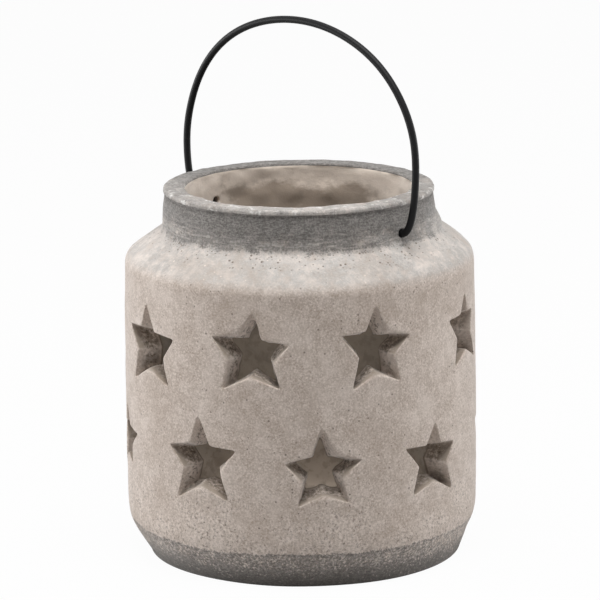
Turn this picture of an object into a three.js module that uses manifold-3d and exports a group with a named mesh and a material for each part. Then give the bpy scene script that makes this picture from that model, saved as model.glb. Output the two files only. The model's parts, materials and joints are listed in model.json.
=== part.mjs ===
// Star lantern: a cast cement pot pierced by two staggered rows of stars, with a swinging wire
// bail and a tealight on its floor. Millimetres, +Z up. The origin is the centre of the base's
// underside, and the bail swings about a line along X.

import * as THREE from 'three';
import { mergeVertices } from 'three/addons/utils/BufferGeometryUtils.js';
import Module from 'manifold-3d';

// Driving sizes of the pot's outside, from its base up
const POT_HEIGHT = 160;
const POT_RADIUS = 75;
const BASE_INSET = 8;
const BAND_HEIGHT = 17.4;
const BAND_FLARE = 0.4;
const SHOULDER_RISE = 11.6;
const SHOULDER_RUN = 16.1;
const NECK_HEIGHT = 18;
const NECK_TAPER = 0.9;
const TOE_ROUND = 1.6;
const BAND_ROUND = 20;
const SHOULDER_ROUND = 9.5;
const NECK_ROUND = 4;
const LIP_ROUND = 1.8;
const MOUTH_ROUND = 1;

// Driving sizes of the pot's inside
const WALL = 10;
const FLOOR = 6.5;
const RIM_WIDTH = 9.2;
const INNER_ROUND = 8;

// Driving sizes of the stars. The upper row sits half a step round from the lower one. The stars
// are set out from the middle of the front, and stand a little closer together there.
const STARS_PER_ROW = 8;
const STAR_POINTS = 5;
const STAR_RADIUS = 18;
const STAR_WAIST = 8.3;
const STAR_DRAFT = 2.8;
const LOWER_ROW_RISE = 52;
const UPPER_ROW_DROP = 27.4;
const FRONT_ANGLE = -42;
const ROW_TWIST = 1;
const FRONT_CROWDING = 3.4;

// Driving sizes of the bail. Its hinge line lies a set way above the foot of the neck. The wire
// turns up just outside the neck, leans out to its widest place and arches over from there.
const WIRE_DIAMETER = 3;
const HINGE_RISE = 4.5;
const HINGE_CLEARANCE = 0.5;
const WIRE_END_SETBACK = 1;
const WIRE_BEND = 4.6;
const BAIL_BOW = 7.3;
const BAIL_HEIGHT = 84.9;
const BAIL_WIDEST_RISE = 25;
const ARCH_FULLNESS = 0.58;

// Driving sizes of the tealight
const CUP_RADIUS = 19;
const CUP_HEIGHT = 13;
const CUP_WALL = 0.5;
const CUP_RIM = 0.5;
const WAX_HEIGHT = 10.5;
const WAX_ROUND = 1;
const WICK_RADIUS = 0.8;
const WICK_SHOWING = 4;
const TAB_RADIUS = 6;
const TAB_THICKNESS = 0.4;
const TEALIGHT_CLEARANCE = 0.3;

// Fineness of the facets
const POT_SIDES = 64;
const ROUND_STEPS = 3;
const WIRE_SIDES = 12;
const WIRE_STEP = 2.5;
const TEALIGHT_SIDES = 40;

// Sizes that follow from the driving ones
const NECK_FOOT_HEIGHT = POT_HEIGHT - NECK_HEIGHT;
const SHOULDER_HEIGHT = NECK_FOOT_HEIGHT - SHOULDER_RISE;
const SHOULDER_SLOPE = SHOULDER_RISE / SHOULDER_RUN;
const BASE_RADIUS = POT_RADIUS - BASE_INSET;
const BAND_RADIUS = POT_RADIUS + BAND_FLARE;
const INNER_RADIUS = POT_RADIUS - WALL;
const NECK_FOOT_RADIUS = POT_RADIUS - SHOULDER_RUN;
const LIP_RADIUS = NECK_FOOT_RADIUS - NECK_TAPER;
const MOUTH_RADIUS = LIP_RADIUS - RIM_WIDTH;
const LOWER_ROW_HEIGHT = LOWER_ROW_RISE;
const UPPER_ROW_HEIGHT = SHOULDER_HEIGHT - UPPER_ROW_DROP;
const HINGE_HEIGHT = NECK_FOOT_HEIGHT + HINGE_RISE;
const WIRE_RADIUS = WIRE_DIAMETER / 2;
const HOLE_RADIUS = WIRE_RADIUS + HINGE_CLEARANCE;

const { Manifold, Mesh } = await loadManifold();

async function loadManifold() {
  const wasm = await Module();
  wasm.setup();
  return wasm;
}

// A closed solid from a geometry whose shared corners are first merged.
function solid(geometry) {
  const bare = geometry.clone();
  bare.deleteAttribute('normal');
  bare.deleteAttribute('uv');
  const merged = mergeVertices(bare, 1e-4);
  return new Manifold(new Mesh({
    numProp: 3,
    vertProperties: new Float32Array(merged.attributes.position.array),
    triVerts: new Uint32Array(merged.index.array),
  }));
}

function geometryOf(manifold) {
  const mesh = manifold.getMesh();
  const geometry = new THREE.BufferGeometry();
  geometry.setAttribute('position', new THREE.BufferAttribute(mesh.vertProperties, 3));
  geometry.setIndex(new THREE.BufferAttribute(mesh.triVerts, 1));
  geometry.computeVertexNormals();
  return geometry;
}

// The points of an outline of [radius, height, rounding] corners, each rounded by an arc. A
// rounding never takes more than half of the shorter edge beside it.
function roundedOutline(corners) {
  const at = corners.map(([radius, height]) => new THREE.Vector2(radius, height));
  const points = [at[0]];
  for (let i = 1; i < at.length - 1; i += 1) {
    const back = at[i - 1].clone().sub(at[i]);
    const ahead = at[i + 1].clone().sub(at[i]);
    const room = Math.min(back.length(), ahead.length()) / 2;
    back.normalize();
    ahead.normalize();
    const half = Math.acos(THREE.MathUtils.clamp(back.dot(ahead), -1, 1)) / 2;
    const radius = Math.min(corners[i][2] ?? 0, room * Math.tan(half));
    if (radius < 0.05) {
      points.push(at[i]);
      continue;
    }
    const inward = back.clone().add(ahead).normalize();
    const centre = at[i].clone().addScaledVector(inward, radius / Math.sin(half));
    const first = at[i].clone().addScaledVector(back, radius / Math.tan(half)).sub(centre);
    const last = at[i].clone().addScaledVector(ahead, radius / Math.tan(half)).sub(centre);
    const turn = Math.atan2(first.cross(last), first.dot(last));
    for (let step = 0; step <= ROUND_STEPS; step += 1) {
      const spoke = first.clone().rotateAround(new THREE.Vector2(), (turn * step) / ROUND_STEPS);
      points.push(centre.clone().add(spoke));
    }
  }
  points.push(at[at.length - 1]);
  return points;
}

// A solid of revolution about +Z, from an outline that runs up the outside and back down the
// inside. It starts and ends on the axis, or closes on itself.
function turned(outline, sides) {
  const geometry = new THREE.LatheGeometry(outline, sides);
  geometry.rotateX(Math.PI / 2);
  return geometry;
}

function finish(color, roughness, metalness) {
  return new THREE.MeshStandardMaterial({ color, roughness, metalness });
}

function piece(name, geometry, material) {
  const mesh = new THREE.Mesh(geometry, material);
  mesh.name = name;
  return mesh;
}

// The height of the shoulder's underside at a radius, one wall below its outside.
function underShoulder(radius) {
  const outside = SHOULDER_HEIGHT + (POT_RADIUS - radius) * SHOULDER_SLOPE;
  return outside - WALL * Math.hypot(1, SHOULDER_SLOPE);
}

function potBlank() {
  const outline = roundedOutline([
    [0, 0],
    [BASE_RADIUS, 0, TOE_ROUND],
    [BAND_RADIUS, BAND_HEIGHT, BAND_ROUND],
    [POT_RADIUS, SHOULDER_HEIGHT, SHOULDER_ROUND],
    [NECK_FOOT_RADIUS, NECK_FOOT_HEIGHT, NECK_ROUND],
    [LIP_RADIUS, POT_HEIGHT, LIP_ROUND],
    [MOUTH_RADIUS, POT_HEIGHT, MOUTH_ROUND],
    [MOUTH_RADIUS, underShoulder(MOUTH_RADIUS), INNER_ROUND],
    [INNER_RADIUS, underShoulder(INNER_RADIUS), INNER_ROUND],
    [INNER_RADIUS, FLOOR, INNER_ROUND],
    [0, FLOOR],
  ]);
  return solid(turned(outline, POT_SIDES));
}

function starShape() {
  const corners = [];
  for (let i = 0; i < 2 * STAR_POINTS; i += 1) {
    const reach = i % 2 === 0 ? STAR_RADIUS : STAR_WAIST;
    const angle = Math.PI / 2 + (Math.PI * i) / STAR_POINTS;
    corners.push(new THREE.Vector2(reach * Math.cos(angle), reach * Math.sin(angle)));
  }
  return new THREE.Shape(corners);
}

// The plug that leaves one star hole. It stands on the wall with its points upright, is at full
// size on the wall's outside and narrows by the draft on its inside.
function starPlug(angle, height) {
  const past = WALL / 2;
  const depth = WALL + 2 * past;
  const geometry = new THREE.ExtrudeGeometry(starShape(), { depth, bevelEnabled: false });
  geometry.translate(0, 0, -depth + past);
  const at = geometry.attributes.position;
  for (let i = 0; i < at.count; i += 1) {
    const narrowed = 1 + (at.getZ(i) * STAR_DRAFT) / (WALL * STAR_RADIUS);
    at.setXY(i, at.getX(i) * narrowed, at.getY(i) * narrowed);
  }
  const outward = new THREE.Vector3(Math.cos(angle), Math.sin(angle), 0);
  const up = new THREE.Vector3(0, 0, 1);
  const across = up.clone().cross(outward);
  const placed = new THREE.Matrix4().makeBasis(across, up, outward);
  placed.setPosition(outward.clone().multiplyScalar(POT_RADIUS).setZ(height));
  return solid(geometry.applyMatrix4(placed));
}

// The angles of a row's stars, in radians, counted in steps from the middle of the front.
function starAngles(firstStep, twist) {
  return Array.from({ length: STARS_PER_ROW }, (unused, i) => {
    const even = ((firstStep + i) * 2 * Math.PI) / STARS_PER_ROW;
    const crowded = even - THREE.MathUtils.degToRad(FRONT_CROWDING) * Math.sin(even);
    return THREE.MathUtils.degToRad(FRONT_ANGLE + twist) + crowded;
  });
}

function bailHole() {
  const length = 3 * NECK_FOOT_RADIUS;
  const geometry = new THREE.CylinderGeometry(HOLE_RADIUS, HOLE_RADIUS, length, WIRE_SIDES);
  geometry.rotateZ(Math.PI / 2);
  geometry.translate(0, 0, HINGE_HEIGHT);
  return solid(geometry);
}

function lanternBody() {
  let pot = potBlank().subtract(bailHole());
  for (const angle of starAngles(0, ROW_TWIST)) {
    pot = pot.subtract(starPlug(angle, LOWER_ROW_HEIGHT));
  }
  for (const angle of starAngles(0.5, -ROW_TWIST)) {
    pot = pot.subtract(starPlug(angle, UPPER_ROW_HEIGHT));
  }
  return piece('lantern_body', geometryOf(pot), finish('#b3aaa0', 0.95, 0));
}

// The wire's centre line in the bail's own plane, across and up from the middle of the hinge. Each
// end runs out through its neck hole and turns up in one curve, which leans out and is upright at
// the widest place. The arch is two curves, a little fuller than a half ellipse.
function bailLine() {
  const inner = MOUTH_RADIUS + WIRE_END_SETBACK;
  const bend = Math.max(NECK_FOOT_RADIUS, LIP_RADIUS);
  const widest = bend + BAIL_BOW;
  const lean = BAIL_WIDEST_RISE / 2;
  const haunch = BAIL_WIDEST_RISE + ARCH_FULLNESS * (BAIL_HEIGHT - BAIL_WIDEST_RISE);
  const crown = ARCH_FULLNESS * widest;
  const line = new THREE.Path();
  line.moveTo(-inner, 0);
  line.lineTo(-bend, 0);
  line.bezierCurveTo(-bend - WIRE_BEND, 0, -widest, lean, -widest, BAIL_WIDEST_RISE);
  line.bezierCurveTo(-widest, haunch, -crown, BAIL_HEIGHT, 0, BAIL_HEIGHT);
  line.bezierCurveTo(crown, BAIL_HEIGHT, widest, haunch, widest, BAIL_WIDEST_RISE);
  line.bezierCurveTo(widest, lean, bend + WIRE_BEND, 0, bend, 0);
  line.lineTo(inner, 0);
  return line;
}

// A full circle has two facets for each of its curve segments.
function bailHandle() {
  const line = bailLine();
  const steps = Math.round(line.getLength() / WIRE_STEP);
  const route = line.getSpacedPoints(2 * steps).map((p) => new THREE.Vector3(p.x, 0, p.y));
  const section = new THREE.Shape().absarc(0, 0, WIRE_RADIUS, 0, 2 * Math.PI);
  const geometry = new THREE.ExtrudeGeometry(section, {
    steps,
    curveSegments: WIRE_SIDES / 2,
    extrudePath: new THREE.CatmullRomCurve3(route, false, 'centripetal'),
  });
  const bail = piece('bail_handle', geometryOf(solid(geometry)), finish('#1b1b1c', 0.5, 0.3));
  bail.position.z = HINGE_HEIGHT;
  return bail;
}

// The tealight's pieces have a frame of their own, with the cup's underside at height 0. The wax
// and the wick's tab stand on the cup's floor, and the wick stands on its tab.
function tealightCup() {
  const inside = CUP_RADIUS - CUP_WALL;
  const outline = roundedOutline([
    [0, 0],
    [CUP_RADIUS, 0, 2 * CUP_WALL],
    [CUP_RADIUS, CUP_HEIGHT - 2 * CUP_RIM],
    [CUP_RADIUS + CUP_RIM, CUP_HEIGHT - CUP_RIM],
    [CUP_RADIUS, CUP_HEIGHT],
    [inside, CUP_HEIGHT],
    [inside, CUP_WALL],
    [0, CUP_WALL],
  ]);
  return piece('tealight_cup', turned(outline, TEALIGHT_SIDES), finish('#c9cacc', 0.35, 1));
}

function tealightWax() {
  const outside = CUP_RADIUS - CUP_WALL - TEALIGHT_CLEARANCE;
  const bore = WICK_RADIUS + TEALIGHT_CLEARANCE;
  const pocket = TAB_RADIUS + TEALIGHT_CLEARANCE;
  const ceiling = TAB_THICKNESS + TEALIGHT_CLEARANCE;
  const corners = [
    [bore, ceiling],
    [pocket, ceiling],
    [pocket, 0],
    [outside, 0],
    [outside, WAX_HEIGHT, WAX_ROUND],
    [bore, WAX_HEIGHT],
    [bore, ceiling],
  ];
  const geometry = turned(roundedOutline(corners), TEALIGHT_SIDES);
  const wax = piece('tealight_wax', geometry, finish('#ece6d8', 0.5, 0));
  wax.position.z = CUP_WALL;
  return wax;
}

function tealightWickTab() {
  const outline = roundedOutline([
    [0, 0],
    [TAB_RADIUS, 0],
    [TAB_RADIUS, TAB_THICKNESS],
    [0, TAB_THICKNESS],
  ]);
  const tab = piece('tealight_wick_tab', turned(outline, TEALIGHT_SIDES), finish('#a9aaad', 0.4, 1));
  tab.position.z = CUP_WALL;
  return tab;
}

function tealightWick() {
  const length = WAX_HEIGHT - TAB_THICKNESS + WICK_SHOWING;
  const outline = roundedOutline([
    [0, 0],
    [WICK_RADIUS, 0],
    [WICK_RADIUS, length],
    [0, length],
  ]);
  const wick = piece('tealight_wick', turned(outline, WIRE_SIDES), finish('#e9e4d6', 0.9, 0));
  wick.position.z = CUP_WALL + TAB_THICKNESS;
  return wick;
}

function tealight() {
  const group = new THREE.Group();
  group.add(tealightCup(), tealightWax(), tealightWickTab(), tealightWick());
  group.position.z = FLOOR;
  return group;
}

const lantern = new THREE.Group();
lantern.name = 'star_lantern';
lantern.add(lanternBody(), bailHandle(), tealight());

export default lantern;
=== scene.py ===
# %% [markdown]
# # A cement star lantern
# A cast cement pot with two rows of star holes, a dark wash rubbed on its neck and foot, a black wire bail
# to carry it by and a tealight on its floor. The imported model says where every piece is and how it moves,
# so it is loaded first. Everything below only gives those pieces a finer surface and a finish.

import json
import math

import bmesh
import bpy
import numpy as np
from mathutils import Matrix, Vector


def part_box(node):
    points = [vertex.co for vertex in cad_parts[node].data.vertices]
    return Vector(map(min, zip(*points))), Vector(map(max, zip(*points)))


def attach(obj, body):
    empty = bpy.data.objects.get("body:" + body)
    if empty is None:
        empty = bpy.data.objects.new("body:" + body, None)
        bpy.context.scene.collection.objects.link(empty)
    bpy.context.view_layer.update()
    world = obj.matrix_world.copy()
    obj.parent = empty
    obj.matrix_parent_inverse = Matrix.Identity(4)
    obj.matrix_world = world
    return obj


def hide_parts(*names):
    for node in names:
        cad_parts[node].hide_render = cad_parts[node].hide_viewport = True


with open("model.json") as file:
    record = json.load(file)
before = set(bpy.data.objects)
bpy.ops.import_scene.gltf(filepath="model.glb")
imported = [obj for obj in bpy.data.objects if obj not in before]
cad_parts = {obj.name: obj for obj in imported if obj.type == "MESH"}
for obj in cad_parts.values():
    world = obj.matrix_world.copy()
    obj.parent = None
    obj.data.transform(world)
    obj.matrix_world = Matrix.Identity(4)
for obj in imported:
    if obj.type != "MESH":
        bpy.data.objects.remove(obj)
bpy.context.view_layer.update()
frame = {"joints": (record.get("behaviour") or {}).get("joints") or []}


def new_object(name, data):
    """An object that is in the scene."""
    made = bpy.data.objects.new(name, data)
    bpy.context.scene.collection.objects.link(made)
    return made


# %% [markdown]
# ## The camera
# The picture was taken with a long lens from a little above the rim, which keeps upright sides almost
# parallel. The bail gives the turn: its hinge runs along X and is seen 47.5 degrees from the view.

# %% Camera
CAMERA_TURN = math.radians(42.5)
CAMERA_REACH = 1.9438
CAMERA_HEIGHT = 0.5506
CAMERA_AIM = 0.1092
CAMERA_ROLL = math.radians(-0.61)
CAMERA_LENS = 277.2

upward = Vector((0, 0, 1))
toward_camera = Vector((math.sin(CAMERA_TURN), -math.cos(CAMERA_TURN), 0))
camera_right = Vector((math.cos(CAMERA_TURN), math.sin(CAMERA_TURN), 0))
camera_place = toward_camera * CAMERA_REACH + upward * CAMERA_HEIGHT
sight = upward * CAMERA_AIM - camera_place
aimed = sight.to_track_quat("-Z", "Y").to_matrix()
camera = new_object("camera", bpy.data.cameras.new("camera"))
camera.data.lens = CAMERA_LENS
camera.location = camera_place
camera.rotation_euler = (aimed @ Matrix.Rotation(CAMERA_ROLL, 3, "Z")).to_euler()
bpy.context.scene.camera = camera
print("camera", [round(v, 3) for v in camera_place], "distance", round(sight.length, 3), "m")

# %% [markdown]
# ## Sizes
# Lengths are in millimetres, as on a drawing, and become metres in the mesh. Overall sizes come from the
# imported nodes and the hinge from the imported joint. The rest repeat the drawing.

# %% Sizes of the pot
MM = 0.001
bail_swing = next(joint for joint in frame["joints"] if joint["name"] == "bail_swing")
POT_HEIGHT = round(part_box("lantern_body")[1][2] / MM, 2)
HINGE_HEIGHT = bail_swing["pos_m"][2] / MM
WALL_RADIUS, BAND_RADIUS, BASE_RADIUS = 75.0, 75.4, 67.0
BAND_HEIGHT, SHOULDER_HEIGHT, NECK_FOOT_HEIGHT = 17.4, 130.4, 142.0
NECK_FOOT_RADIUS, LIP_RADIUS, MOUTH_RADIUS = 58.9, 58.0, 48.8
INNER_RADIUS, FLOOR_HEIGHT = 65.0, round(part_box("tealight_cup")[0][2] / MM, 2)
UNDER_SHOULDER, UNDER_NECK = 125.3, 137.0
print("pot", POT_HEIGHT, "mm tall, hinge at", HINGE_HEIGHT, "mm")

# %% [markdown]
# ## Helpers for surfaces
# Every piece is made of grids of points: one way runs along an outline, the other round an axis or a hole.
# They are worked out as whole arrays and joined into one mesh, and points that coincide are merged, so that
# seams and poles close.

# %% Outlines and grids
def straight(start, end, step):
    """Points from start towards end, about one step apart, without the end itself."""
    cuts = max(1, math.ceil(np.linalg.norm(end - start) / step - 1e-9))
    return start + (end - start) * (np.arange(cuts) / cuts)[:, None]


def rounded_outline(corners, step, arc_steps=6):
    """Walks (radius, height, rounding) corners. A rounded corner becomes an arc that touches both its
    edges: it leaves the first edge at rounding times the tangent of half the turn before the corner."""
    spot = np.array([corner[:2] for corner in corners], float)
    rounding = [corner[2] if len(corner) > 2 else 0.0 for corner in corners]
    along = np.diff(spot, axis=0)
    along /= np.linalg.norm(along, axis=1, keepdims=True)
    stretches, leave = [], spot[0]
    for i in range(1, len(spot) - 1):
        before, after = along[i - 1], along[i]
        turn = math.atan2(before[0] * after[1] - before[1] * after[0], before @ after)
        touch = spot[i] - before * rounding[i] * math.tan(abs(turn) / 2)
        spoke = np.array([before[1], -before[0]]) * math.copysign(rounding[i], turn)
        sweep = np.linspace(0, turn, arc_steps + 1 if rounding[i] else 1)
        cos, sin = np.cos(sweep), np.sin(sweep)
        turned = np.stack([spoke[0] * cos - spoke[1] * sin, spoke[0] * sin + spoke[1] * cos], -1)
        arc = touch - spoke + turned
        stretches += [straight(leave, touch, step), arc[:-1]]
        leave = arc[-1]
    return np.concatenate(stretches + [straight(leave, spot[-1], step), spot[-1:]])


def turned_grid(outline, angles):
    """A surface of revolution: each (radius, height) of the outline stands at radius times the cosine and
    sine of every angle."""
    radius, height = outline[:, :1], outline[:, 1:]
    return np.stack(np.broadcast_arrays(radius * np.cos(angles), radius * np.sin(angles), height), -1)


def grid_faces(rows, columns, closed):
    """Four-cornered faces between rows and columns; a closed grid joins its last column to its first."""
    row = np.arange(rows - 1)[:, None] * columns
    column = np.arange(columns if closed else columns - 1)[None, :]
    beside = (column + 1) % columns
    corners = [row + column, row + beside, row + columns + beside, row + columns + column]
    return np.stack(corners, -1).reshape(-1, 4)


# %% From grids to a mesh
MERGE_DISTANCE = 0.002


def joined_mesh(name, grids):
    """One mesh, in millimetres, from (points, closed) grids, with doubles merged and normals turned out."""
    points = np.concatenate([grid.reshape(-1, 3) for grid, closed in grids])
    starts = np.cumsum([0] + [grid.shape[0] * grid.shape[1] for grid, closed in grids])
    faces = [grid_faces(*grid.shape[:2], closed) + start for (grid, closed), start in zip(grids, starts)]
    mesh = bpy.data.meshes.new(name)
    mesh.from_pydata(points.tolist(), [], np.concatenate(faces).tolist())
    work = bmesh.new()
    work.from_mesh(mesh)
    bmesh.ops.remove_doubles(work, verts=work.verts, dist=MERGE_DISTANCE)
    bmesh.ops.dissolve_degenerate(work, dist=MERGE_DISTANCE / 10, edges=work.edges)
    bmesh.ops.recalc_face_normals(work, faces=work.faces)
    open_edges = sum(not edge.is_manifold for edge in work.edges)
    work.to_mesh(mesh)
    work.free()
    mesh.shade_smooth()
    print(name, len(mesh.vertices), "points,", len(mesh.polygons), "faces, open edges", open_edges)
    return mesh


def read_points(mesh, what="vertices", field="co"):
    """A mesh's points or normals as one array."""
    values = np.empty(len(mesh.vertices) * 3, np.float32)
    getattr(mesh, what).foreach_get(field, values)
    return values.reshape(-1, 3).astype(float)


def place_piece(mesh, finish, body, slot, *nodes, points=None):
    """Writes the points, in metres, gives the piece its body and hides the nodes that it replaces.
    slot is not used.
    """
    points = read_points(mesh) if points is None else points
    mesh.vertices.foreach_set("co", (points * MM).astype(np.float32).ravel())
    mesh.update()
    mesh.materials.append(finish)
    piece = new_object(mesh.name, mesh)
    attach(piece, body)
    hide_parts(*nodes)


# %% [markdown]
# ## Helpers for unevenness
# Nothing here is machined, so most surfaces wander a little. A Displace modifier would treat a whole piece
# alike, so the wander is worked out here, from a seeded lattice of random heights, the same on every run.

# %% Noise for hand-made surfaces
NOISE_TABLE = 4096
HASH_FACTORS = (73856093, 19349663, 83492791)


def unevenness(points, spacing, seed):
    """Smooth noise from -1 to 1: each corner of a cubic lattice of that spacing has a random height, and a
    point blends its cell's eight corners, with weights eased as 3t^2 - 2t^3."""
    heights = np.random.default_rng(seed).uniform(-1, 1, NOISE_TABLE)
    cell = np.floor(points / spacing).astype(np.int64)
    ease = points / spacing - cell
    ease = ease * ease * (3 - 2 * ease)
    total = np.zeros(len(points))
    for corner in np.ndindex(2, 2, 2):
        key = ((cell + corner) * HASH_FACTORS).T
        share = np.prod(np.where(corner, ease, 1 - ease), axis=1)
        total += share * heights[(key[0] ^ key[1] ^ key[2]) % NOISE_TABLE]
    return total


def roughness(points, *layers):
    """The sum of layers of noise, each an (amount, spacing, seed)."""
    return sum(amount * unevenness(points, spacing, seed) for amount, spacing, seed in layers)


def fade(value, low, high):
    """0 at low, 1 at high and eased between; low may be the larger, which turns the slope round."""
    t = np.clip((value - low) / (high - low), 0, 1)
    return t * t * (3 - 2 * t)


# %% [markdown]
# ## Writing materials as sums
# A material is a graph of nodes. Drawn by hand it hides the idea, so a small class holds one output socket
# and lets Python's own operators add the Math nodes. Any other node comes from its node method.

# %% A socket that can be added and multiplied
class Shade:
    """A number or colour somewhere in a material: the output socket of one of its nodes."""

    def __init__(self, tree, socket):
        self.tree, self.socket = tree, socket

    def node(self, kind, settings, sockets, output=0):
        """Adds a node of any kind. Its settings are set first, then each socket gets its value or link."""
        made = self.tree.nodes.new(kind)
        for name, value in settings.items():
            setattr(made, name, value)
        for name, value in sockets.items():
            if isinstance(value, Shade):
                self.tree.links.new(value.socket, made.inputs[name])
            else:
                made.inputs[name].default_value = value
        return Shade(self.tree, made.outputs[output] if made.outputs else None)

    def math(self, operation, first, second):
        """Adds a Math node of two values."""
        return self.node("ShaderNodeMath", {"operation": operation}, {0: first, 1: second})

    def __add__(self, other):
        return self.math("ADD", self, other)

    def __radd__(self, other):
        return self.math("ADD", other, self)

    def __sub__(self, other):
        return self.math("SUBTRACT", self, other)

    def __rsub__(self, other):
        return self.math("SUBTRACT", other, self)

    def __mul__(self, other):
        return self.math("MULTIPLY", self, other)

    def __rmul__(self, other):
        return self.math("MULTIPLY", other, self)

    def __truediv__(self, other):
        return self.math("DIVIDE", self, other)

    def __rtruediv__(self, other):
        return self.math("DIVIDE", other, self)


# %% Words for patterns
def start_finish(name):
    """A new material, and the place on the piece that its patterns are worked out from, in metres."""
    material = bpy.data.materials.new(name)
    material.use_nodes = True
    material.node_tree.nodes.clear()
    place = Shade(material.node_tree, None).node("ShaderNodeTexCoord", {}, {}, "Object")
    return material, place


def height_of(place):
    """How high a place is."""
    return place.node("ShaderNodeSeparateXYZ", {}, {"Vector": place}, "Z")


def reach_along(place, way):
    """How far a place lies along a direction."""
    return place.node("ShaderNodeVectorMath", {"operation": "DOT_PRODUCT"}, {0: place, 1: way}, "Value")


def carried(place, name):
    """A value that the mesh carries at each of its points."""
    return place.node("ShaderNodeAttribute", {"attribute_name": name}, {}, "Fac")


def grain(place, size, detail=4.0, roughness=0.55, stretch=None):
    """Cloudy noise from 0 to 1 with blots of this size in metres, squeezed by three factors if given."""
    if stretch:
        place = place.node("ShaderNodeVectorMath", {"operation": "MULTIPLY"}, {0: place, 1: stretch})
    sockets = {"Vector": place, "Scale": 1 / size, "Detail": detail, "Roughness": roughness}
    return place.node("ShaderNodeTexNoise", {}, sockets)


def step_up(value, low, high):
    """0 below low, 1 above high, eased between; low may be the larger, which turns the slope round."""
    sockets = {"Value": value, "From Min": low, "From Max": high}
    return value.node("ShaderNodeMapRange", {"interpolation_type": "SMOOTHSTEP"}, sockets)


def specks(place, size, share, reach):
    """Round spots, 1 inside and 0 outside, in cells of this size in metres. The given share of the cells
    has a spot, each of its own size, up to reach times the cell's."""
    settings, sockets = {"feature": "F1"}, {"Vector": place, "Scale": 1 / size, "Detail": 0.0}
    away = place.node("ShaderNodeTexVoronoi", settings, sockets)
    colour = place.node("ShaderNodeTexVoronoi", settings, sockets, "Color")
    chance = colour.node("ShaderNodeSeparateColor", {}, {"Color": colour}, "Red")
    width = colour.node("ShaderNodeSeparateColor", {}, {"Color": colour}, "Green")
    chosen = step_up(chance, share, share * 0.9)
    return chosen * step_up(away / (0.35 + 0.65 * width), reach, reach * 0.55)


# %% Words for colours and surfaces
def colour(red, green, blue):
    """A colour, with the solid alpha that a socket asks for."""
    return (red, green, blue, 1.0)


def blend(amount, first, second):
    """A colour between first and second."""
    source = next(value for value in (amount, first, second) if isinstance(value, Shade))
    return source.node("ShaderNodeMix", {"data_type": "RGBA"}, {0: amount, 6: first, 7: second}, 2)


def coats(body, *layers):
    """A body colour with coats laid over it, one after the other, each an (amount, colour)."""
    for amount, paint in layers:
        body = blend(amount, body, paint)
    return body


def end_finish(place, body, gloss, constants, relief, distance):
    """The surface shader. relief is a list of (height, strength) that bump the normal one after the other,
    as deep as distance in metres."""
    normal = {}
    for height, strength in relief:
        sockets = {"Height": height, "Strength": strength, "Distance": distance, **normal}
        normal = {"Normal": place.node("ShaderNodeBump", {}, sockets)}
    sockets = {"Base Color": body, "Roughness": gloss, **constants, **normal}
    surface = place.node("ShaderNodeBsdfPrincipled", {}, sockets)
    place.node("ShaderNodeOutputMaterial", {}, {"Surface": surface})
    print("a finish of", len(place.tree.nodes), "nodes")


# %% [markdown]
# ## The cast pot: outlines
# The pot is one casting, so it is one mesh. It could be turned whole and cut with booleans, but eighteen
# holes would leave long thin faces that can't be weathered. So the outline is turned only above and below
# the stars, and each hole gets a window of its own in the grid.

# %% Outlines of the pot
COLUMNS = 272
ROW_FOOT, ROW_MIDDLE, ROW_HEAD, INNER_HEAD = 27.0, 77.5, 125.2, 122.4
SILL, LINTEL = 143.9, 150.9
TOE, FLOOR_EDGE = (64.0, 0.0), (50.0, FLOOR_HEIGHT)
GROOVE, BEAD = (57.5, 157.2, 0.8), (LIP_RADIUS + 0.25, 158.2, 0.6)
LIP, MOUTH = (LIP_RADIUS + 0.1, POT_HEIGHT, 1.2), (MOUTH_RADIUS, POT_HEIGHT, 1.0)
BAND_ROUND, TOE_ROUND, SHOULDER_ROUND, NECK_ROUND = 20, 1.6, 6.5, 3.5
UNDER_NECK_ROUND, UNDER_SHOULDER_ROUND, FLOOR_ROUND = 4, 3, 8
OUTER_STEP, NECK_STEP, CEILING_STEP, FLOOR_STEP = 1.5, 1.2, 2.0, 2.5
WALL_BELLY = 0.5


def wall_radius(height):
    """The wall leans in evenly from the base band to the shoulder, and swells by half a sine wave."""
    rise = (height - BAND_HEIGHT) / (SHOULDER_HEIGHT - BAND_HEIGHT)
    return BAND_RADIUS + (WALL_RADIUS - BAND_RADIUS) * rise + WALL_BELLY * np.sin(np.pi * rise)


def neck_radius(height):
    """The neck leans in evenly from its foot to the lip."""
    rise = (height - NECK_FOOT_HEIGHT) / (POT_HEIGHT - NECK_FOOT_HEIGHT)
    return NECK_FOOT_RADIUS + (LIP_RADIUS - NECK_FOOT_RADIUS) * rise


sill, lintel = (neck_radius(SILL), SILL), (neck_radius(LINTEL), LINTEL)
wall_foot, wall_head = (wall_radius(ROW_FOOT), ROW_FOOT), (wall_radius(ROW_HEAD), ROW_HEAD)
shoulder = (WALL_RADIUS, SHOULDER_HEIGHT, SHOULDER_ROUND)
band_line = rounded_outline(
    [wall_foot, (BAND_RADIUS, BAND_HEIGHT, BAND_ROUND), (BASE_RADIUS, 0, TOE_ROUND), TOE], OUTER_STEP)
shoulder_line = rounded_outline(
    [wall_head, shoulder, (NECK_FOOT_RADIUS, NECK_FOOT_HEIGHT, NECK_ROUND), sill], OUTER_STEP)
neck_line = rounded_outline([sill, lintel], NECK_STEP)
lip_line = rounded_outline([lintel, GROOVE, BEAD, LIP, MOUTH, (MOUTH_RADIUS, LINTEL)], NECK_STEP)
mouth_line = rounded_outline([(MOUTH_RADIUS, LINTEL), (MOUTH_RADIUS, SILL)], NECK_STEP)
ceiling_line = rounded_outline(
    [(MOUTH_RADIUS, SILL), (MOUTH_RADIUS, UNDER_NECK, UNDER_NECK_ROUND),
     (INNER_RADIUS, UNDER_SHOULDER, UNDER_SHOULDER_ROUND), (INNER_RADIUS, INNER_HEAD)], CEILING_STEP)
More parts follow.
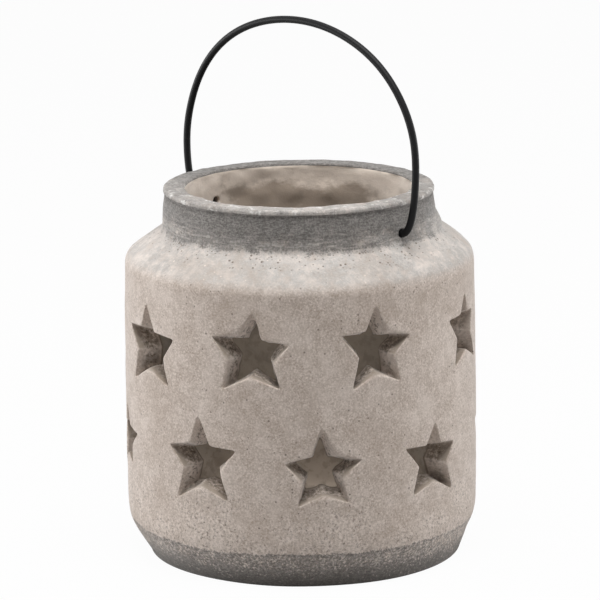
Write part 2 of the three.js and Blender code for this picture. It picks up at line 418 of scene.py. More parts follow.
inner_foot_line = rounded_outline(
    [(INNER_RADIUS, ROW_FOOT), (INNER_RADIUS, FLOOR_HEIGHT, FLOOR_ROUND), FLOOR_EDGE], FLOOR_STEP)
round_lines = (band_line, shoulder_line, lip_line, ceiling_line, inner_foot_line)
print("outline points", [len(line) for line in (neck_line, *round_lines)])

# %% [markdown]
# ## The cast pot: holes
# A window runs from a border on the outer face, over the worn edge of its hole, through the wall and out to
# a border on the inner face. Each point of the border has a partner on the hole's edge, so a window is a
# grid too: how far round, and how far from border to border.

# %% Windows with a hole
FACE_SHARES = 1 - np.linspace(1, 0, 9) ** 1.5
EDGE_LEANS, BACK_EDGE_LEANS = np.radians((22.5, 45, 67.5, 90)), np.radians((30, 60))
DEPTH_SHARES = (0.17, 0.34, 0.51, 0.68, 0.84, 0.96, 1.0)
BACK_SHARES = np.linspace(0, 1, 4) ** 1.4
BACK_WEAR = 0.4


def window_border(across, up):
    """Walks round a window from -1 to 1 each way, anticlockwise seen from outside, from the top right."""
    left, down = 1 - 2 * np.arange(across) / across, 1 - 2 * np.arange(up) / up
    side = np.concatenate([left, -np.ones(up), -left, np.ones(up)])
    height = np.concatenate([np.ones(across), down, -np.ones(across), -down])
    return side, height


def toward(start, end, shares):
    """Rows of points that go from start to end by these shares of the way."""
    return [start + (end - start) * share for share in shares]


def pointing(start, end):
    """Directions of length 1 from start to end."""
    return (end - start) / np.linalg.norm(end - start, axis=-1, keepdims=True)


def pierced(axis, centre, edge, border, inner_border, outer, inner, wear, draft, drop):
    """Windows as (window, row, round, xyz) arrays. edge is the hole's outline square to its axis, as
    (across, up). On a face a point is (arc length, height) from the hole's centre. A point of the hole's
    side at some depth keeps its distance across, so its angle is the arcsine of that over the radius there,
    and the hole narrows evenly, across by draft and up and down by drop. The worn edge is a quarter round
    of radius wear."""
    radius = outer(centre + edge[1])
    wall = radius - inner
    rim = np.stack([radius * np.arcsin(edge[0] / radius), edge[1]], -1)
    far = np.stack([outer(border[1]) * (border[0] - axis), border[1] - centre], -1)
    away = pointing(rim, far)

    # The angle, height and radius of a point at some depth in the wall
    def inside(flat, depth, taper=0.0):
        face = outer(centre + flat[..., 1])
        across = face * np.sin(flat[..., 0] / face) * (1 - draft * taper)
        height = centre + flat[..., 1] * (1 - drop * taper)
        return np.arcsin(across / (face - depth)), height, face - depth

    worn_rim = rim + away * wear[..., None]
    rows = [inside(flat, 0 * wall) for flat in toward(far, worn_rim, FACE_SHARES)]
    for lean in EDGE_LEANS:
        rows.append(inside(rim + away * (wear * (1 - np.sin(lean)))[..., None], wear * (1 - np.cos(lean))))
    for share in DEPTH_SHARES:
        depth = wear + (wall - BACK_WEAR - wear) * share
        rows.append(inside(rim, depth, depth / wall))
    angle, height, _ = inside(rim, wall, 1.0)
    back = np.stack([inner * angle, height - centre], -1)
    back_far = np.stack([inner * (inner_border[0] - axis), inner_border[1] - centre], -1)
    back_away = pointing(back, back_far)

    # The same of a point on the inner face, sunk into it by the wear
    def behind(flat, sunk=0.0):
        return flat[..., 0] / inner, centre + flat[..., 1], inner + sunk + 0 * wall

    for lean in BACK_EDGE_LEANS:
        flat = back + back_away * BACK_WEAR * (1 - np.cos(lean))
        rows.append(behind(flat, BACK_WEAR * (1 - np.sin(lean))))
    rows += [behind(flat) for flat in toward(back + back_away * BACK_WEAR, back_far, BACK_SHARES)]
    angle, height, radius = (np.stack(part, 1) for part in zip(*rows))
    turn = axis[:, None] + angle
    return np.stack([radius * np.cos(turn), radius * np.sin(turn), height], -1)


# %% [markdown]
# ## The cast pot: stars
# The stars were cut by hand into the wet casting, eight to a row and staggered, so no two are alike. Those
# that face the picture have the tips that it shows. The rest are even stars, shifted by a seeded draw.

# %% Where the stars sit
STARS = 8
COUNT = 2 * STARS
FRONT = math.radians(-42)
PITCH = 2 * math.pi / STARS
ROW_TWIST, CROWDING = math.radians(1), math.radians(3.4)
ROW_HEIGHTS = (52.0, 103.0)
TIPS = np.radians((90, 160.8, 230.5, 309.5, 379.2))
TIP_REACH = 18.0 * np.array((1.0, 0.945, 1.06, 1.06, 0.945))
STAR_LEAN, TIP_SWAY, TIP_SPREAD, STAR_SHIFT = 4, 2.5, (0.93, 1.05), 1.5
CUT_OVER = 1.03
HAND_CUT_TIPS = {
    (0, 6): ((-1, 16), (-16, 5), (-11, -14), (7.5, -9), (16, 5.5)),
    (0, 7): ((1.3, 22.3), (-14.5, 7), (-10.5, -15.3), (15.4, -14), (19.2, 8.3)),
    (0, 0): ((0, 19.7), (-15.5, 3.7), (-10.3, -14.8), (11.3, -13.8), (17.2, 4.5)),
    (0, 1): ((-0.5, 15), (-18, 6.5), (-13.5, -14.5), (11.5, -16.5), (12.5, 4)),
    (1, 6): ((-0.5, 14), (-17, 2), (-11.5, -20.5), (16, -19.5), (18.5, 1.5)),
    (1, 7): ((1.8, 17.7), (-16.5, 6), (-12.3, -16.4), (13.2, -15), (17, 4)),
    (1, 0): ((-1, 19.5), (-16.5, 7), (-11.8, -16.4), (10.2, -14.4), (15, 4.5)),
    (1, 1): ((0, 15), (-15, 5.5), (-11, -15), (14.5, -16), (10.5, 5.5)),
}

row_of, place_of = np.divmod(np.arange(COUNT), STARS)
even = PITCH * (place_of + 0.5 * row_of)
draw = np.random.default_rng(31)
lean = draw.uniform(-STAR_LEAN, STAR_LEAN, (COUNT, 1))
tip_angle = TIPS + np.radians(lean + draw.uniform(-TIP_SWAY, TIP_SWAY, (COUNT, 5)))
tip_reach = TIP_REACH * draw.uniform(*TIP_SPREAD, (COUNT, 5))
tips = np.stack([tip_reach * np.cos(tip_angle), tip_reach * np.sin(tip_angle)], -1)
tips[..., 1] += draw.uniform(-STAR_SHIFT, STAR_SHIFT, (COUNT, 1))
for (row, place), cut in HAND_CUT_TIPS.items():
    tips[row * STARS + place] = np.array(cut) * CUT_OVER
middle = tips.mean(axis=1)
tips -= middle[:, None]
star_height = np.take(ROW_HEIGHTS, row_of) + middle[:, 1]
star_axis = FRONT + np.where(row_of, -1, 1) * ROW_TWIST + even
star_axis = star_axis - CROWDING * np.sin(even) + middle[:, 0] / WALL_RADIUS
print("stars at", np.degrees(star_axis).round(1), "degrees and", star_height.round(1), "mm")

# %% [markdown]
# A waist lies part of the way out to the line between its two tips. Waists are worn rounder than tips, and
# those in the picture as it shows. A star narrows inwards, but its lower ledges are nearly level, as a flat
# knife leaves them: all across in the upper row, in the middle in the lower one.

# %% The stars' corners and edges
WAIST_SHARE, WAIST_SPREAD = 0.57, (0.93, 1.08)
TIP_WEAR, WAIST_WEAR = (0.25, 0.6), (0.7, 2.2)
HAND_WORN_WAISTS = {
    (0, 7): (0.5, 0.6, 1.2, 3.2, 3.0), (0, 0): (2.6, 0.5, 2.6, 3.0, 3.6), (0, 1): (0.6, 0.8, 1.5, 2.2, 1.5),
    (1, 6): (0.6, 0.8, 1.5, 2.4, 2.0), (1, 7): (0.5, 3.6, 2.8, 1.9, 2.4), (1, 0): (3.0, 0.5, 0.8, 2.3, 2.0),
}

waists = (np.roll(tips, 1, axis=1) + tips) / 2 * WAIST_SHARE * draw.uniform(*WAIST_SPREAD, (COUNT, 5, 1))
corners = np.stack([waists, tips], axis=2).reshape(COUNT, 10, 2)
corner_angle = np.unwrap(np.arctan2(corners[..., 1], corners[..., 0]))
corner_reach = np.hypot(corners[..., 0], corners[..., 1])
waist_wear, tip_wear = draw.uniform(*WAIST_WEAR, (COUNT, 5)), draw.uniform(*TIP_WEAR, (COUNT, 5))
corner_wear = np.stack([waist_wear, tip_wear], axis=2).reshape(COUNT, 10)
for (row, place), worn_by in HAND_WORN_WAISTS.items():
    corner_wear[row * STARS + place, ::2] = worn_by
print("corners worn by", corner_wear.min().round(2), "to", corner_wear.max().round(2), "mm")


def star_edge(bearing):
    """For each border bearing, a point on the star as (across, up) and its wear: the bearings nearest to
    the ten corners are moved onto them, those between share the corners' bearings evenly, and along an edge
    between corners a and b the reach is a b sin(gap) over a sin(past a) + b sin(left to b)."""
    count = np.arange(bearing.shape[1])
    across, up, wear = (np.empty_like(bearing) for _ in range(3))
    for star, (angles, reaches, wears) in enumerate(zip(corner_angle, corner_reach, corner_wear)):
        nearest = np.abs(bearing[star][:, None] - angles).argmin(0)
        knots = np.concatenate([[nearest[-1] - len(count)], nearest, [nearest[0] + len(count)]])
        turns = np.concatenate([[angles[-1] - 2 * np.pi], angles, [angles[0] + 2 * np.pi]])
        ends = np.concatenate([reaches[-1:], reaches, reaches[:1]])
        angle = np.interp(count, knots, turns)
        side = np.clip(np.searchsorted(turns, angle, "right") - 1, 0, len(turns) - 2)
        a, b = ends[side], ends[side + 1]
        past, left = angle - turns[side], turns[side + 1] - angle
        reach = a * b * np.sin(past + left) / (a * np.sin(past) + b * np.sin(left))
        across[star], up[star] = reach * np.cos(angle), reach * np.sin(angle)
        wear[star] = np.interp(count, knots, np.concatenate([wears[-1:], wears, wears[:1]]))
    return across, up, wear


def rounded_off(walk):
    """Wears the corners of a closed walk: half a point's own value and a quarter of each neighbour's."""
    return 0.5 * walk + 0.25 * (np.roll(walk, 1, axis=1) + np.roll(walk, -1, axis=1))


# %% The stars' windows
WINDOW_ACROSS, WINDOW_UP = COLUMNS // STARS, 30
STAR_DRAFT, LEVEL_LEDGE = 0.37, 0.7
LEDGE_HALF_WIDTH, LEDGE_FALL = 12, -4

side, height = window_border(WINDOW_ACROSS, WINDOW_UP)
low = np.where(row_of, ROW_MIDDLE, ROW_FOOT)[:, None]
high = np.where(row_of, ROW_HEAD, ROW_MIDDLE)[:, None]
inner_high = np.where(row_of, INNER_HEAD, ROW_MIDDLE)[:, None]
border = ((FRONT + even)[:, None] + side * PITCH / 2, low + (high - low) * (height + 1) / 2)
inner_border = (border[0], low + (inner_high - low) * (height + 1) / 2)
axis, centre = star_axis[:, None], star_height[:, None]
bearing = np.unwrap(np.arctan2(border[1] - centre, WALL_RADIUS * (border[0] - axis)))
across, up, wear = (rounded_off(walk) for walk in star_edge(bearing))
level = np.where(row_of[:, None], 1.0, fade(np.abs(across), LEDGE_HALF_WIDTH, 0)) * fade(up, 0, LEDGE_FALL)
stars = pierced(axis, centre, (across, up), border, inner_border, wall_radius, INNER_RADIUS, wear,
                draft=STAR_DRAFT, drop=STAR_DRAFT * (1 - LEVEL_LEDGE * level))
print("star windows", stars.shape)

# %% [markdown]
# ## The cast pot: wire holes
# Two round windows through the neck take the bail's ends. The neck and the mouth are turned only between
# them, and the flat underside and floor close the casting.

# %% Wire holes and the turned parts
HOLE_RADIUS, HOLE_WEAR = 2.0, 0.45
HOLE_COLUMNS = 9
FLAT_ROWS = 7
COLUMN_TURN = 2 * np.pi / COLUMNS

first = round(-FRONT / COLUMN_TURN) - HOLE_COLUMNS // 2 - 1
side, height = window_border(HOLE_COLUMNS, len(neck_line) - 1)
start = np.array([[first], [first + COLUMNS // 2]])
axis, centre = np.array([[0.0], [np.pi]]), np.full((2, 1), HINGE_HEIGHT)
angle = FRONT + COLUMN_TURN * (start + HOLE_COLUMNS * (side + 1) / 2)
border = (angle, np.broadcast_to(SILL + (LINTEL - SILL) * (height + 1) / 2, angle.shape))
bearing = np.arctan2(border[1] - centre, NECK_FOOT_RADIUS * (angle - axis))
edge = (HOLE_RADIUS * np.cos(bearing), HOLE_RADIUS * np.sin(bearing))
holes = pierced(axis, centre, edge, border, border, neck_radius, MOUTH_RADIUS,
                np.full_like(angle, HOLE_WEAR), draft=0.0, drop=0.0)

compass = FRONT + COLUMN_TURN * np.arange(2 * COLUMNS)
all_round = compass[:COLUMNS]
after_hole = compass[first + HOLE_COLUMNS: first + COLUMNS // 2 + 1]
arcs = (after_hole, after_hole + np.pi)
flat_run = np.linspace(1, 0, FLAT_ROWS)[:, None]
flats = [flat_run * (edge, 0) + (0, rise) for edge, rise in (TOE, FLOOR_EDGE)]
grids = [(turned_grid(line, all_round), True) for line in round_lines]
grids += [(turned_grid(line, arc), False) for line in (neck_line, mouth_line) for arc in arcs]
grids += [(turned_grid(line, all_round), True) for line in flats]
grids += [(window, True) for window in [*stars, *holes]]
pot_mesh = joined_mesh("cement_pot", grids)

# %% [markdown]
# ## The cast pot: weathering
# Cast cement is never true. Each point moves along its normal by noise of three sizes: a slow wave from the
# mould, lumps, and grit. The inside was never dressed, so it is rougher, and the mouth was smeared with a
# thumb. The underside and the floor under the candle stay flat, and the wire holes clear. How deep a point
# lies in the wall is kept as hollow, from 0 on the outer face to 1 on the inner one.

# %% Uneven surfaces
MOULD_WAVE, LUMPS, GRIT = (0.28, 38, 1), (0.12, 9, 2), (0.05, 3.2, 3)
UNDRESSED_LUMPS, UNDRESSED_GRIT = (0.8, 7, 4), (0.3, 2.8, 5)
CUT_LUMPS, CUT_GRIT = (0.5, 5, 7), (0.3, 2.4, 8)
THUMB_MARKS, THUMB_SQUEEZE = (0.6, 11, 6), (1, 1, 1.8)
LIP_LUMPS, LIP_GRIT = (0.3, 6, 9), (0.12, 2.8, 10)
WALL_AT_FOOT, WALL_AT_STARS, WALL_AT_NECK = 7.0, 9.9, 8.8
FOOT_END, STARS_HEAD = 20, 123
SOLE, STANDING, MOUTH_LEVEL, LIP_LEVEL = (2, 5), (0.3, 2.5), (130, 138), (155, 158)
MOUTH_REACH, CANDLE_ROOM, WIRE_ROOM = (52, 49), (45, 30), (4, 9)
LIP_INSIDE_POINTS = 8

points = read_points(pot_mesh)
normals = read_points(pot_mesh, "vertex_normals", "vector")
height = points[:, 2]
radius = np.hypot(points[:, 0], points[:, 1])
outside = np.concatenate([band_line[::-1], shoulder_line, neck_line, lip_line[:-LIP_INSIDE_POINTS]])
outside = outside[np.argsort(outside[:, 1], kind="stable")]
face = np.interp(height, outside[:, 1], outside[:, 0])
wall_there = np.select([height < FOOT_END, height < STARS_HEAD], [WALL_AT_FOOT, WALL_AT_STARS], WALL_AT_NECK)
hollow = np.clip((face - radius) / wall_there, 0, 1) * fade(height, *SOLE)
mouth = fade(height, *MOUTH_LEVEL) * fade(radius, *MOUTH_REACH)
reveal = fade(hollow, 0.05, 0.3) * fade(hollow, 0.98, 0.8)
move = roughness(points, MOULD_WAVE, LUMPS, GRIT)
move += hollow * (1 - 0.6 * mouth) * roughness(points, UNDRESSED_LUMPS, UNDRESSED_GRIT)
move += reveal * roughness(points, CUT_LUMPS, CUT_GRIT)
move += mouth * roughness(points * THUMB_SQUEEZE, THUMB_MARKS)
move += fade(height, *LIP_LEVEL) * roughness(points, LIP_LUMPS, LIP_GRIT)
to_wire = np.hypot(points[:, 1], height - HINGE_HEIGHT)
move *= (0.15 + 0.85 * fade(to_wire, *WIRE_ROOM)) * fade(height, *STANDING)
on_floor = (hollow > 0.9) * fade(height, FLOOR_HEIGHT + 4, FLOOR_HEIGHT + 1)
move *= 1 - on_floor * fade(radius, *CANDLE_ROOM)
points += normals * move[:, None]
print("moved by", move.min().round(2), "to", move.max().round(2), "mm")

# %% [markdown]
# The casting also leans a little. Its rim is higher at the front of the picture, its toe is worn on the
# left and full on the right, and the neck's foot is fuller on the right, but not round the wire hole, where
# the bail lies down. Two more values are kept for the finish, both for painted shade: the stars' upward
# ledges, and their feet.

# %% A leaning casting
RIM_TILT, TOE_WEAR, FULLER_TOE, FULLER_SIDE = 0.006, 1.4, 1.2, 2.4
FACE_TURN = math.radians(-47.5)
STARS_END = 125
RIM_LEVEL, TOE_LEVEL, NECK_FROM, NECK_TO = (151, 157), (13, 1), (128, 137), (150, 143)
TOE_RIGHT, TOE_LEFT, NECK_RIGHT, BAIL_ROOM = (-5, -45), (5, 45), (-15, -50), (6, 16)
STAR_FOOT = (-5, -13)

face_way = np.array((math.cos(FACE_TURN), math.sin(FACE_TURN), 0))
left_way = np.array((math.sin(FACE_TURN), -math.cos(FACE_TURN), 0))
to_face, to_left = points @ face_way, points @ left_way
height += RIM_TILT * to_face * fade(height, *RIM_LEVEL)
toe = fade(height, *TOE_LEVEL) * (radius > INNER_RADIUS - 2)
toe *= FULLER_TOE * fade(to_left, *TOE_RIGHT) - TOE_WEAR * fade(to_left, *TOE_LEFT)
points[:, :2] *= 1 + (toe / np.maximum(radius, 1))[:, None]
fuller = fade(height, *NECK_FROM) * fade(height, *NECK_TO) * fade(to_left, *NECK_RIGHT)
fuller *= fade(hollow, 0.3, 0.1) * fade(to_wire, *BAIL_ROOM)
points[:, :2] *= 1 + (FULLER_SIDE * fuller / np.maximum(radius, 1))[:, None]
# Painted shade: the cut sides' upward faces, which the top light reaches, are marked to be darkened.
ledge_painted_shade = fade(normals[:, 2], 0.1, 0.6) * fade(hollow, 0.004, 0.03) * fade(hollow, 0.98, 0.9)
row_height = np.where(height > ROW_MIDDLE, ROW_HEIGHTS[1], ROW_HEIGHTS[0])
# Painted shade: the stars' lower legs are marked, to be darkened as if in shadow.
foot_painted_shade = reveal * fade(height - row_height, *STAR_FOOT)
in_wall = height < STARS_END
for name, values in (("hollow", hollow), ("ledge_painted_shade", ledge_painted_shade * in_wall), ("foot_painted_shade", foot_painted_shade * in_wall)):
    pot_mesh.attributes.new(name, "FLOAT", "POINT").data.foreach_set("value", values.astype(np.float32))
print("neck fuller by up to", (FULLER_SIDE * fuller).max().round(2), "mm, toe by", toe.max().round(2), "mm")

# %% [markdown]
# ## The cement's finish
# The casting is a dry, warm grey, speckled with pale and dark sand, mottled and clouded. Dust lies smooth
# on the shoulder. Its coat is darker than the cement as painted shade where the top light falls strongest,
# and darker still at the sides and on the right as more painted shade. Splashes left coarse specks in
# patches low on the wall. It could be painted on pictures, but noise on Object coordinates has no seam and
# never repeats. Each coat is an amount and a colour. A pair of heights, in metres, says where a coat begins
# and where it is full.

# %% Cement
CEMENT = colour(0.55, 0.467, 0.409)
PALE_CEMENT = colour(0.74, 0.65, 0.585)
DARK_CEMENT = colour(0.415, 0.335, 0.277)
# The colour of dirt specks and pits, and of the painted shade in the stars' feet.
DIRT_AND_PAINTED_SHADE = colour(0.15, 0.12, 0.098)
DUST_WITH_PAINTED_SHADE = colour(0.438, 0.428, 0.414)
PAINTED_SHADE_DUST_AT_SIDES = colour(0.368, 0.359, 0.348)
PAINTED_SHADE_DUST_AT_RIGHT = colour(0.330, 0.327, 0.318)
DUST_AND_SHADE_LINE, SPLASH_LINE = (0.127, 0.133), (0.055, 0.030)

cement, place = start_finish("cast_cement")
height = height_of(place)
flat = place.node("ShaderNodeVectorMath", {"operation": "MULTIPLY"}, {0: place, 1: (1, 1, 0)})
radius = place.node("ShaderNodeVectorMath", {"operation": "LENGTH"}, {0: flat}, "Value")
front, left = reach_along(flat, face_way) / radius, reach_along(flat, left_way) / radius
hollow, ledge_painted_shade, foot_painted_shade = (carried(place, name) for name in ("hollow", "ledge_painted_shade", "foot_painted_shade"))
outer = step_up(hollow, 0.4, 0.1)
sides, right_side = step_up(front, 0.85, 0.30), step_up(left, -0.30, -0.80)

cloud = grain(place, 0.026, 3.0)
smudge = grain(place, 0.0085, 4.0, 0.65)
mottle = grain(place, 0.0034, 3.0, 0.6)
coarse = grain(place, 0.0012, 3.0, 0.7)
sand = grain(place, 0.0008, 2.0, 0.7)
dark_grains, pale_grains = specks(place, 0.0020, 0.20, 0.30), specks(place, 0.0022, 0.20, 0.30)
# Painted shade: the shoulder's dust coat is darker than the cement where the top light is strongest, and
# darker again at the sides and on the right.
dust_and_painted_shade = step_up(height, *DUST_AND_SHADE_LINE) * outer
dust_with_painted_shade = blend(right_side, blend(step_up(front, 0.92, 0.60), DUST_WITH_PAINTED_SHADE, PAINTED_SHADE_DUST_AT_SIDES), PAINTED_SHADE_DUST_AT_RIGHT)
splashed = step_up(height, *SPLASH_LINE) * outer * step_up(cloud + 0.4 * (smudge - 0.5), 0.38, 0.58)
body = coats(
    CEMENT,
    (0.95 * dust_and_painted_shade, dust_with_painted_shade),
    ((0.95 - 0.65 * dust_and_painted_shade) * step_up(sand, 0.52, 0.34), DARK_CEMENT),
    ((0.90 - 0.60 * dust_and_painted_shade) * step_up(sand, 0.50, 0.66), PALE_CEMENT),
    (0.35 * step_up(mottle, 0.46, 0.70), PALE_CEMENT),
    (0.30 * step_up(mottle, 0.48, 0.28), DARK_CEMENT),
    (0.40 * step_up(smudge, 0.48, 0.70), PALE_CEMENT),
    (0.35 * step_up(smudge, 0.50, 0.32), DARK_CEMENT),
    (0.30 * step_up(cloud, 0.46, 0.70), PALE_CEMENT),
    (0.30 * step_up(cloud, 0.52, 0.30), DARK_CEMENT),
    (0.65 * splashed * step_up(coarse, 0.55, 0.64), DIRT_AND_PAINTED_SHADE),
    (0.95 * splashed * step_up(coarse, 0.46, 0.38), PALE_CEMENT),
    ((0.75 - 0.35 * dust_and_painted_shade) * dark_grains, DIRT_AND_PAINTED_SHADE),
    (0.65 * pale_grains, PALE_CEMENT))
print("cement with", len(place.tree.nodes), "nodes so far")

# %% [markdown]
# The inside is as it came from the mould. It is painted much paler than the cement outside, as painted
# light, with stains wiped round by a thumb, darker low on the far side. Below the mouth it is darkened as
# painted shade, with sooty blots, and round the candle as soot and painted shade. The cut sides of the stars
# are paler and gritty, with open pits. Their paleness is partly painted light, their ledges and feet are
# darkened as painted shade, and their dirt is thinner on the right as painted light.

# %% Star edges and the undressed inside
# Painted light: the inside is much paler than the cement, standing in for light that barely reaches it.
UNDRESSED_PAINTED_LIGHT = colour(0.86, 0.75, 0.65)
SMEARED = colour(0.42, 0.345, 0.28)
DEEP_INSIDE = colour(0.31, 0.26, 0.21)
LOW_INSIDE = colour(0.37, 0.31, 0.255)
SOOT_AND_PAINTED_SHADE = colour(0.22, 0.185, 0.15)
STAIN_LINE, SHADE_LINE = (0.1595, 0.1430), (0.130, 0.110)
LOW_LINE, CANDLE_LINE, CANDLE_REACH = (0.055, 0.020), (0.014, 0.008), (0.056, 0.030)

smeared = grain(place, 0.016, 3.0, 0.5, (1, 1, 1.8))
thumbed = grain(place, 0.0035, 4.0, 0.65, (1, 1, 1.8))
low_back = step_up(height, *STAIN_LINE) * step_up(front, -0.55, -0.95)
stain = 0.37 + 1.5 * (smeared - 0.5) + 0.5 * (thumbed - 0.5) + 0.75 * low_back
# Painted shade: below this height the inside is darkened, as if less light reached it.
shaded = step_up(height, *SHADE_LINE)
# Partly painted shade: the floor round the candle, which light reaches through the mouth, is darkened as
# soot and as shade.
by_candle_soot_and_shade = step_up(height, *CANDLE_LINE) * step_up(radius + 0.012 * (smudge - 0.5), *CANDLE_REACH)
undressed_with_painted_light_and_shade = coats(
    UNDRESSED_PAINTED_LIGHT,
    (step_up(stain, 0.44, 0.94), SMEARED),
    (shaded, DEEP_INSIDE),
    (step_up(height, *LOW_LINE), LOW_INSIDE),
    (0.6 * step_up(smudge + 0.8 * (mottle - 0.5), 0.50, 0.68) * shaded, SOOT_AND_PAINTED_SHADE),
    (by_candle_soot_and_shade, SOOT_AND_PAINTED_SHADE))

# Partly painted highlight: the holes' worn outer edges are paler as wear and as the light that catches them.
worn_and_painted_highlight = step_up(hollow, 0.004, 0.03) * step_up(hollow, 0.40, 0.08)
reveal = step_up(hollow, 0.10, 0.40)
# Partly painted light: the grit dirt in the cut sides is thinner on the right, which lightens the stars
# there.
dirty_with_painted_light = reveal * step_up(hollow, 1.0, 0.7) * (1 - 0.4 * right_side)
grit = grain(place, 0.0015, 3.0, 0.7)
body = coats(
    body,
    (0.18 * worn_and_painted_highlight, PALE_CEMENT),
    # Partly painted light: the cut sides are paler than the wall, and raised further to stand in for light.
    (0.55 * reveal, PALE_CEMENT),
    # Painted shade: the upward ledges are darkened.
    (0.80 * ledge_painted_shade, DEEP_INSIDE),
    (0.25 * reveal * step_up(smudge + 1.1 * (mottle - 0.5), 0.44, 0.60), DEEP_INSIDE),
    (0.75 * dirty_with_painted_light * step_up(grit, 0.53, 0.62), DIRT_AND_PAINTED_SHADE),
    (0.80 * reveal * step_up(grit, 0.49, 0.40), PALE_CEMENT),
    # Painted shade: the stars' feet are darkened in blotches.
    (0.6 * foot_painted_shade * step_up(smudge + 0.7 * (mottle - 0.5), 0.38, 0.56), DIRT_AND_PAINTED_SHADE),
    (step_up(hollow, 0.93, 0.995), undressed_with_painted_light_and_shade))
deep_pits = reveal * step_up(hollow, 0.99, 0.93) * specks(place, 0.0028, 0.5, 0.34)
print("inside and stars,", len(place.tree.nodes), "nodes so far")

# %% [markdown]
# A dark wash was rubbed on the neck and the base band and wiped off the high spots, so it is broken by pale
# grains, streaked round the neck and ragged at its edge, with specks beyond it at the neck's foot. It is
# thicker in the groove under the rim, partly as painted shade under the lip, and at the rim's back, thinner
# at the sides, and scuffed off the rim's front. It follows height, so it needs no mesh of its own.

# %% How thick the wash is
NECK_LINE, NECK_FULL, NECK_END = (0.1398, 0.1438), (0.1450, 0.1540), (0.1385, 0.1400)
LIP_LINE, GROOVE_TOP, GROOVE_FOOT = (0.1580, 0.1585), (0.1585, 0.1580), (0.1568, 0.1574)
BAND_LINE, TIDE_LINE = (0.0174, 0.0158), (0.0146, 0.0158)
BAND_LOW, BASE_LINE = (0.0130, 0.0020), (0.030, 0.020)

ragged = grain(place, 0.006, 5.0, 0.7)
pepper = grain(place, 0.0009, 3.0, 0.75)
on_lip = step_up(height, *LIP_LINE)
neck_edge = step_up(height + 0.010 * (ragged - 0.5) + 0.005 * (pepper - 0.5), *NECK_LINE)
neck_cover = 0.55 * neck_edge + 0.27 * step_up(height, *NECK_FULL) - 0.07 * sides
rim_cover = 0.45 + 0.12 * sides + 0.24 * step_up(front, 0.0, -0.60)
# Partly painted shade: the wash is thicker in the groove under the lip, where shade falls.
groove_wash_and_shade = step_up(height, *GROOVE_FOOT) * step_up(height, *GROOVE_TOP)
neck_cover = neck_cover + on_lip * (rim_cover - neck_cover) + 0.50 * groove_wash_and_shade
inner_edge = step_up(hollow + 0.10 * (ragged - 0.5), 1.0, 0.93)
neck_cover = neck_cover * inner_edge * step_up(height, *NECK_END)
band_top = height + 0.005 * (cloud - 0.5) + 0.002 * (ragged - 0.5)
base_edge = step_up(band_top, *BAND_LINE) * outer
tide = base_edge * step_up(band_top, *TIDE_LINE)
low_band = step_up(height, *BAND_LOW)
base_cover = base_edge * (0.62 + 0.28 * low_band + 0.08 * tide - 0.06 * sides - 0.09 * right_side)
cover = neck_cover + base_cover
print("wash measured,", len(place.tree.nodes), "nodes so far")

# %% The rubbed wash
WASH = colour(0.092, 0.086, 0.080)
RUBBED_WASH = colour(0.31, 0.292, 0.275)
SCUFF = colour(0.72, 0.70, 0.67)
THIN_LINE, SPECKS_FOOT, SPECKS_TOP = (0.003, 0.013), (0.1350, 0.1380), (0.1450, 0.1410)
RELIEF_DEPTH = 0.0006

on_base = step_up(height, *BASE_LINE)
streaks = grain(place, 0.009, 5.0, 0.65, (1, 1, 9))
brushed = grain(place, 0.0026, 4.0, 0.75, (1, 1, 4))
peppered = (0.55 + 0.9 * on_base) * (pepper - 0.5) + 1.3 * on_base * (coarse - 0.5)
streaked = (0.9 - 0.5 * on_lip - 0.6 * on_base) * (streaks + brushed - 1.0)
wash = step_up(cover + peppered + streaked + 0.5 * (ragged - 0.5), 0.26, 0.74)
wash = wash * step_up(cover, 0.04, 0.16)
rubbed = step_up(0.4 * sand + 0.6 * brushed, 0.42, 0.60)
thin = on_base * step_up(height, *THIN_LINE)
flecks = step_up(grain(place, 0.0042, 4.0, 0.7), 0.54, 0.66)
scuffs = on_lip * step_up(front, -0.4, 0.2) * inner_edge * flecks
pits = outer * specks(place, 0.0055, 0.06, 0.11)
at_neck_foot = step_up(height, *SPECKS_FOOT) * step_up(height, *SPECKS_TOP) * outer
foot_specks = at_neck_foot * step_up(ragged, 0.40, 0.50) * specks(place, 0.0019, 0.9, 0.40)
body = coats(
    body,
    ((0.9 - 0.12 * thin) * wash, blend((0.75 - 0.5 * low_band) * rubbed, WASH, RUBBED_WASH)),
    (0.85 * scuffs, SCUFF),
    (0.7 * pits + 0.75 * deep_pits + 0.9 * foot_specks, DIRT_AND_PAINTED_SHADE))
dents = pits + deep_pits + foot_specks + 0.6 * reveal * grit
end_finish(place, body, 0.86 + 0.1 * sand, {"Specular IOR Level": 0.2, "Sheen Weight": 0.25},
           [(sand, 0.16), (mottle, 0.28), (dents, -0.7), (wash, 0.1)], RELIEF_DEPTH)
place_piece(pot_mesh, cement, "lantern", "cement", "lantern_body", points=points)

# %% [markdown]
# ## The bail
# One length of coated steel wire, turned in through the neck at both ends and bent into an arch over a
# former. A curve with a round bevel would do, but its ends would stay open or flat. So it is a round
# profile carried along a centre line. The line lies almost in one plane, so the profile's two directions
# are simply across the line in that plane, and along Y.

# %% The bail's line
WIRE_RADIUS = 1.55
WIRE_INNER_END = MOUTH_RADIUS + 2.5
WIRE_BEND = 4.6
ARCH_WIDTH, ARCH_FOOT, ARCH_TOP, ARCH_FULLNESS = 66.2, 25.0, 84.9, 0.58
WIRE_STEP, WIRE_SIDES = 0.7, 24

run = np.linspace(0, 1, 200)[:, None]


def curve(start, pull, draw_in, end):
    """A cubic curve: the four points weigh (1-t)^3, 3t(1-t)^2, 3t^2(1-t) and t^3."""
    rest = 1 - run
    weights = np.concatenate([rest ** 3, 3 * run * rest ** 2, 3 * run ** 2 * rest, run ** 3], axis=1)
    return weights @ np.array([start, pull, draw_in, end])


